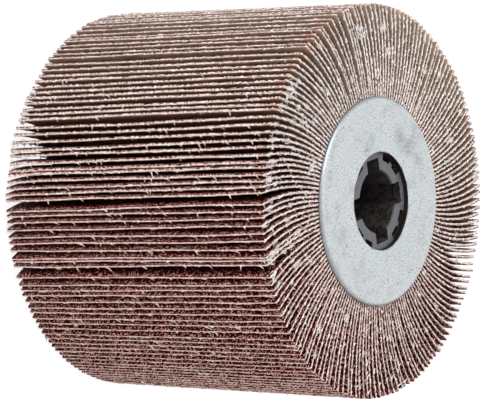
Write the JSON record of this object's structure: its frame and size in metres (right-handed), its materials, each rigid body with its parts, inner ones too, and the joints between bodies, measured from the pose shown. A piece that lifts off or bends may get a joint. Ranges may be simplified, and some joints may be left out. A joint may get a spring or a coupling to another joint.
{
  "type": "flap wheel",
  "caption": "Flap wheel: radial abrasive cloth flaps bonded round a keyed hub core, held between two round flange washers.",
  "frame": {"origin": "on the wheel's axis, in the plane of the rear washer's outer face", "axes": "+Z along the wheel's axis towards the front washer, +X through the middle of one keyway; seen from +Z the tips of the flaps lean counter-clockwise"},
  "size_m": [0.12, 0.12, 0.1],
  "materials": {
    "abrasive_cloth": "resin-bonded brown grit on cotton cloth, pale frayed cut edges",
    "zinc_plate": "dull zinc plate, faintly mottled",
    "core_plastic": "moulded black plastic",
    "bond_resin": "cast dark brown resin"
  },
  "bodies": {
    "root": {"hub_core": "core_plastic", "resin_ring": "bond_resin", "rear_flange_washer": "zinc_plate", "front_flange_washer": "zinc_plate", "flap_set_01": "abrasive_cloth", "flap_set_02": "abrasive_cloth", "flap_set_03": "abrasive_cloth", "flap_set_04": "abrasive_cloth", "flap_set_05": "abrasive_cloth", "flap_set_06": "abrasive_cloth", "flap_set_07": "abrasive_cloth", "flap_set_08": "abrasive_cloth", "flap_set_09": "abrasive_cloth", "flap_set_10": "abrasive_cloth", "flap_set_11": "abrasive_cloth", "flap_set_12": "abrasive_cloth", "flap_set_13": "abrasive_cloth", "flap_set_14": "abrasive_cloth", "flap_set_15": "abrasive_cloth", "flap_set_16": "abrasive_cloth", "flap_set_17": "abrasive_cloth", "flap_set_18": "abrasive_cloth", "flap_set_19": "abrasive_cloth", "flap_set_20": "abrasive_cloth", "flap_set_21": "abrasive_cloth", "flap_set_22": "abrasive_cloth", "flap_set_23": "abrasive_cloth", "flap_set_24": "abrasive_cloth", "flap_set_25": "abrasive_cloth", "flap_set_26": "abrasive_cloth", "flap_set_27": "abrasive_cloth", "flap_set_28": "abrasive_cloth", "flap_set_29": "abrasive_cloth", "flap_set_30": "abrasive_cloth", "flap_set_31": "abrasive_cloth", "flap_set_32": "abrasive_cloth", "flap_set_33": "abrasive_cloth", "flap_set_34": "abrasive_cloth", "flap_set_35": "abrasive_cloth", "flap_set_36": "abrasive_cloth", "flap_set_37": "abrasive_cloth", "flap_set_38": "abrasive_cloth", "flap_set_39": "abrasive_cloth", "flap_set_40": "abrasive_cloth", "flap_set_41": "abrasive_cloth", "flap_set_42": "abrasive_cloth"}
  },
  "joints": []
}
